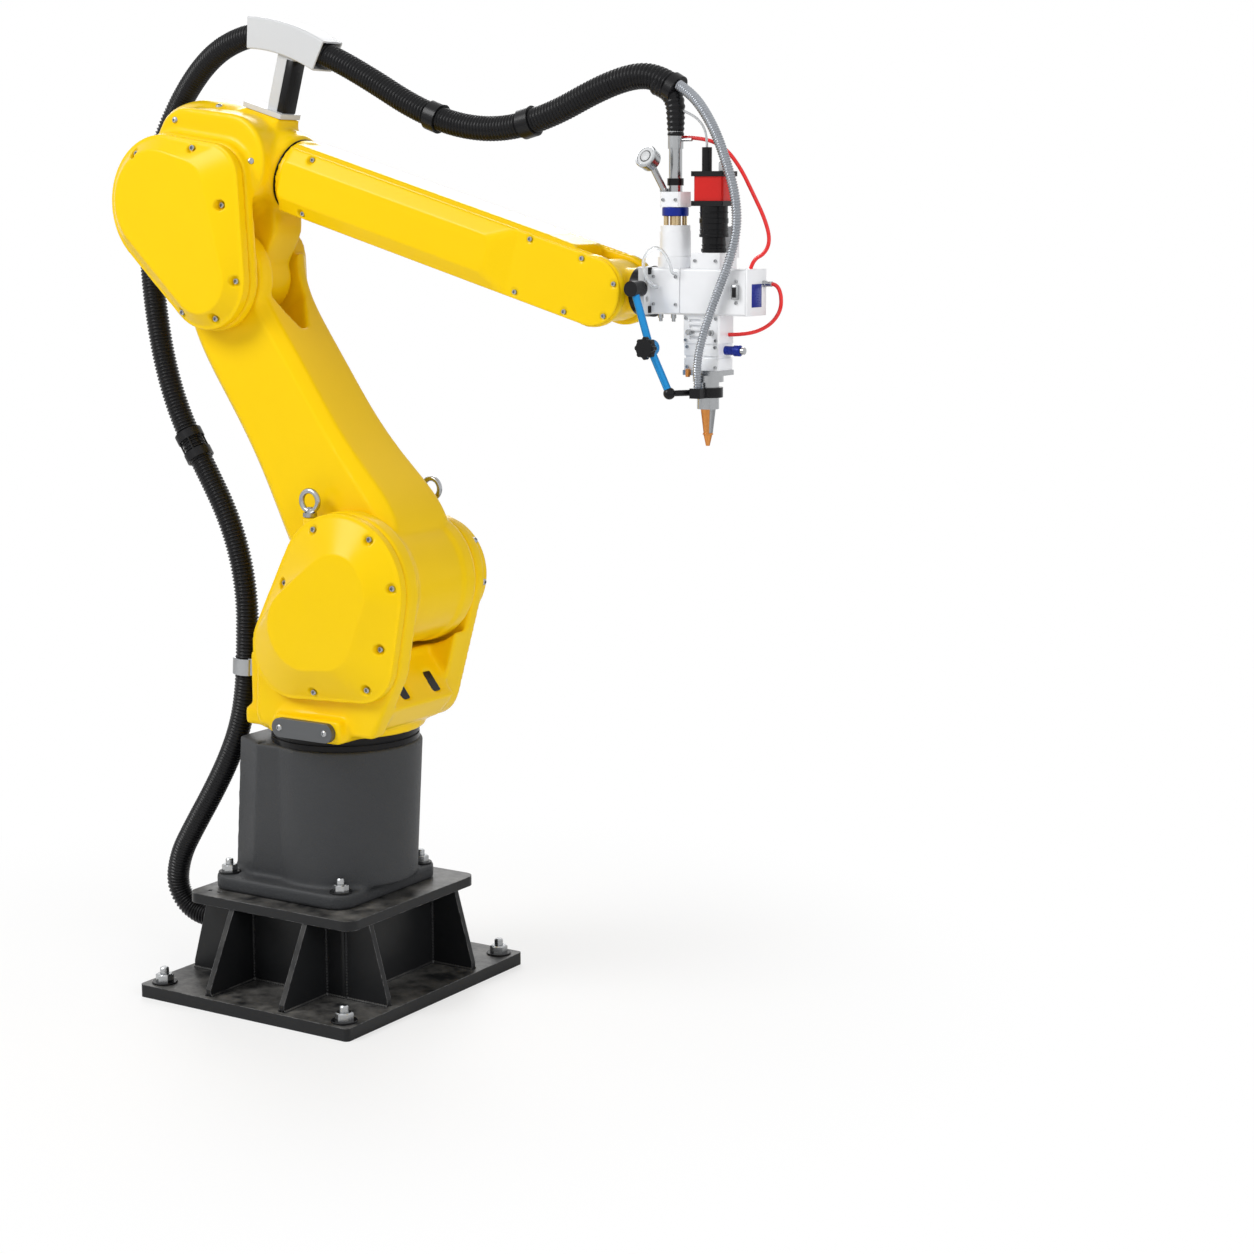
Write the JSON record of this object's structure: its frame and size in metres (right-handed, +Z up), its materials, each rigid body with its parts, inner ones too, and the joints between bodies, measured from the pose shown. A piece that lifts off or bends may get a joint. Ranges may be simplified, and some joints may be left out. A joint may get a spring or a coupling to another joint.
{
  "type": "industrial robot arm",
  "caption": "Articulated welding robot arm on a bolted pedestal, with a ribbed conduit guided over its elbow to a welding head with camera and nozzle.",
  "frame": {"origin": "middle of the floor plate's underside", "axes": "+Z up, along the axis about which the turret turns 40 mm ahead of the origin; +X forward along the arm's reach; +Y to the left of the arm as it faces forward"},
  "size_m": [1.5003, 0.594, 1.949],
  "materials": {
    "yellow_paint": "gloss",
    "dark_paint": "satin",
    "cast_grey": "matt",
    "black_metal": "satin",
    "black_plastic": "satin",
    "zinc_steel": "polished",
    "grey_plate": "satin",
    "white_paint": "satin",
    "head_aluminium": "satin",
    "brass": "polished",
    "blue_anodised": "satin",
    "red_anodised": "satin",
    "grey_hose": "satin",
    "red_hose": "gloss",
    "clear_tube": "gloss"
  },
  "bodies": {
    "base": {"floor_plate": "dark_paint", "riser_box": "dark_paint", "riser_ribs": "dark_paint", "riser_top_plate": "dark_paint", "base_casting": "cast_grey", "slewing_ring": "black_metal", "conduit_gland": "black_plastic", "conduit_base_run": "black_plastic"},
    "turret": {"turret_casting": "yellow_paint", "shoulder_cover": "yellow_paint", "far_shoulder_cap": "yellow_paint", "lifting_eyes": "zinc_steel", "stop_plate": "grey_plate", "ramp_sockets": "black_plastic", "turret_clamp": "zinc_steel", "conduit_turret_run": "black_plastic"},
    "lower_arm": {"lower_arm_casting": "yellow_paint", "conduit_coupling": "black_plastic", "conduit_arm_run": "black_plastic"},
    "elbow": {"elbow_casting": "yellow_paint", "elbow_side_cover": "yellow_paint", "guide_post": "white_paint", "guide_saddle": "white_paint", "conduit_elbow_run": "black_plastic"},
    "forearm": {"forearm_body": "yellow_paint", "forearm_cover_near": "yellow_paint", "forearm_cover_far": "yellow_paint", "conduit_bands": "black_plastic", "conduit_forearm_run": "black_plastic"},
    "wrist": {"wrist_housing": "yellow_paint", "conduit_wrist_run": "black_plastic"},
    "tool": {"tool_flange": "black_metal", "head_bracket": "white_paint", "head_box": "head_aluminium", "head_end_cap": "head_aluminium", "entry_barrel": "head_aluminium", "entry_posts": "brass", "entry_ring": "blue_anodised", "fibre_clamp_block": "head_aluminium", "fibre_plug": "zinc_steel", "dial_cap": "zinc_steel", "camera_body": "red_anodised", "camera_plates": "black_plastic", "camera_lens": "black_metal", "camera_mount": "head_aluminium", "focus_module": "head_aluminium", "lens_cartridge": "head_aluminium", "cartridge_lock": "blue_anodised", "nozzle_barrel": "zinc_steel", "nozzle_tip": "brass", "support_rods": "blue_anodised", "support_joints": "black_plastic", "conduit_boot": "black_plastic", "feed_hose": "grey_hose", "red_hoses": "red_hose", "clear_tubes": "clear_tube"}
  },
  "joints": [
    {"name": "base_turn", "type": "hinge", "parent": "base", "child": "turret", "pos_m": [0.04, 0, 0.546], "axis": [0, 0, 1], "range_deg": [-170, 170], "deforming": ["conduit_base_run"]},
    {"name": "shoulder_tilt", "type": "hinge", "parent": "turret", "child": "lower_arm", "pos_m": [0.165, 0, 0.852], "axis": [0, 1, 0], "range_deg": [-35, 60], "deforming": ["conduit_turret_run"]},
    {"name": "elbow_tilt", "type": "hinge", "parent": "lower_arm", "child": "elbow", "pos_m": [-0.17756, 0, 1.44057], "axis": [0, -1, 0], "range_deg": [-40, 95], "deforming": ["conduit_arm_run"]},
    {"name": "forearm_roll", "type": "hinge", "parent": "elbow", "child": "forearm", "pos_m": [-0.11457, 0, 1.65866], "axis": [0.9607, 0, -0.2775], "range_deg": [-180, 180], "deforming": ["conduit_elbow_run", "conduit_bands"]},
    {"name": "wrist_bend", "type": "hinge", "parent": "forearm", "child": "wrist", "pos_m": [0.67611, 0, 1.43029], "axis": [0, -1, 0], "range_deg": [-110, 65], "deforming": ["conduit_forearm_run", "conduit_wrist_run", "conduit_bands"]},
    {"name": "tool_roll", "type": "hinge", "parent": "wrist", "child": "tool", "pos_m": [0.76011, 0, 1.43029], "axis": [1, 0, 0], "range_deg": [-180, 180], "deforming": ["conduit_wrist_run"]}
  ]
}
